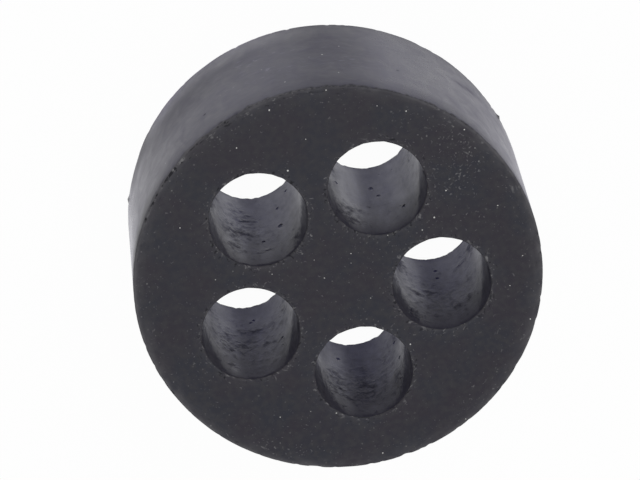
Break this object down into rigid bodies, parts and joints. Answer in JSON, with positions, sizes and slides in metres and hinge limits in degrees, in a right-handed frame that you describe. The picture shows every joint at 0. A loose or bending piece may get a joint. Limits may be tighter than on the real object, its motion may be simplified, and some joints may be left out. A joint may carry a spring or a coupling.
{
  "type": "cable gland sealing insert",
  "caption": "Thick black rubber disc with a ring of equal straight cable bores, which seals several round cables in a cable gland.",
  "frame": {"origin": "centre of the lower end face, on the disc's axis", "axes": "+Z along the disc's axis and along every bore, from the lower end face to the upper one; +Y from the axis towards the first cable bore"},
  "size_m": [0.025, 0.025, 0.0117],
  "materials": {
    "black_rubber": "matt on the end faces, with a soft sheen on the outer wall and in the bores"
  },
  "bodies": {
    "root": {"sealing_insert": "black_rubber"}
  },
  "joints": []
}
